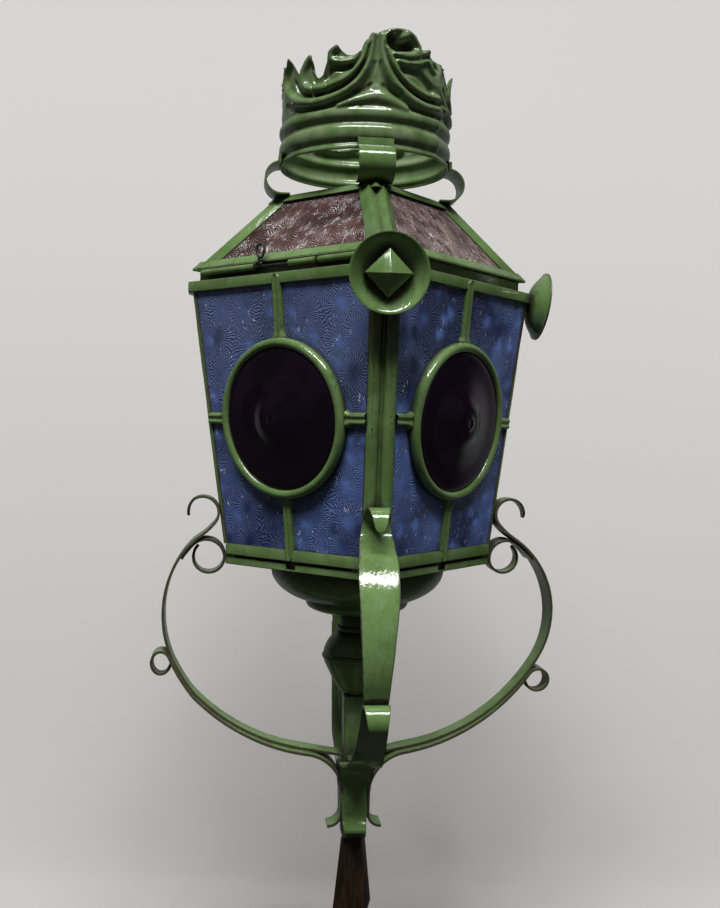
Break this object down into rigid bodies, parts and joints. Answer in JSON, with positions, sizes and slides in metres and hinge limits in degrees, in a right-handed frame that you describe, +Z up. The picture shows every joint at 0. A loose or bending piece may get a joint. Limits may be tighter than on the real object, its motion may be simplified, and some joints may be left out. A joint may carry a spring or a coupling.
{
  "type": "processional lantern",
  "caption": "Green tinplate processional lantern on a staff socket: tapering glazed body with bull's-eye glasses, scrolled strap brackets, hinged glazed lid and pressed crown.",
  "frame": {"origin": "lower end of the round staff tenon, on the lantern's axis", "axes": "+Z up along the staff; the front face, with the lid hinge, looks along -Y; +X is the viewer's right of that face"},
  "size_m": [0.2578, 0.2578, 0.768],
  "materials": {
    "green_enamel": "brushed glossy green enamel, worn dark at the edges",
    "blue_glass": "pressed starburst pattern, blue",
    "violet_glass": "smooth blown, near-black violet",
    "mauve_glass": "pressed needle pattern, mauve",
    "black_wire": "dark oxidised iron wire",
    "brown_wood": "dark stained, worn",
    "tin_plate": "dull tinned sheet",
    "beeswax": "wax",
    "wick_cotton": "charred braid"
  },
  "bodies": {
    "lantern": {"staff_block": "brown_wood", "socket": "green_enamel", "knop_lower": "green_enamel", "knop_upper": "green_enamel", "neck": "green_enamel", "bowl": "green_enamel", "base_plate": "green_enamel", "base_frame": "green_enamel", "top_frame": "green_enamel", "corner_post_front_right": "green_enamel", "corner_post_back_right": "green_enamel", "corner_post_back_left": "green_enamel", "corner_post_front_left": "green_enamel", "glazing_bars_front": "green_enamel", "glazing_bars_right": "green_enamel", "glazing_bars_back": "green_enamel", "glazing_bars_left": "green_enamel", "eye_ring_front": "green_enamel", "eye_ring_right": "green_enamel", "eye_ring_back": "green_enamel", "eye_ring_left": "green_enamel", "bulls_eye_front": "violet_glass", "bulls_eye_right": "violet_glass", "bulls_eye_back": "violet_glass", "bulls_eye_left": "violet_glass", "body_panes_front": "blue_glass", "body_panes_right": "blue_glass", "body_panes_back": "blue_glass", "body_panes_left": "blue_glass", "bracket_main_front_right": "green_enamel", "bracket_main_back_right": "green_enamel", "bracket_main_back_left": "green_enamel", "bracket_main_front_left": "green_enamel", "bracket_outer_front_right": "green_enamel", "bracket_outer_back_right": "green_enamel", "bracket_outer_back_left": "green_enamel", "bracket_outer_front_left": "green_enamel", "bracket_scroll_front_right": "green_enamel", "bracket_scroll_back_right": "green_enamel", "bracket_scroll_back_left": "green_enamel", "bracket_scroll_front_left": "green_enamel", "rosette_front_right": "green_enamel", "rosette_back_right": "green_enamel", "rosette_back_left": "green_enamel", "rosette_studs": "green_enamel", "body_knuckle": "green_enamel", "candle_holder": "tin_plate"},
    "lid": {"lid_frame": "green_enamel", "roof_top_frame": "green_enamel", "roof_hips": "green_enamel", "roof_pane_front": "mauve_glass", "roof_pane_right": "mauve_glass", "roof_pane_back": "mauve_glass", "roof_pane_left": "mauve_glass", "lid_knuckles": "green_enamel", "hinge_wire": "black_wire", "crown": "green_enamel", "crown_straps": "green_enamel"},
    "candle": {"candle": "beeswax", "wick": "wick_cotton"}
  },
  "joints": [
    {"name": "lid_hinge", "type": "hinge", "parent": "lantern", "child": "lid", "pos_m": [0, -0.1005, 0.5846], "axis": [1, 0, 0], "range_deg": [0, 100]},
    {"name": "candle_lift", "type": "slide", "parent": "lantern", "child": "candle", "axis": [0, 0, 1], "range_m": [0, 0.09]}
  ]
}
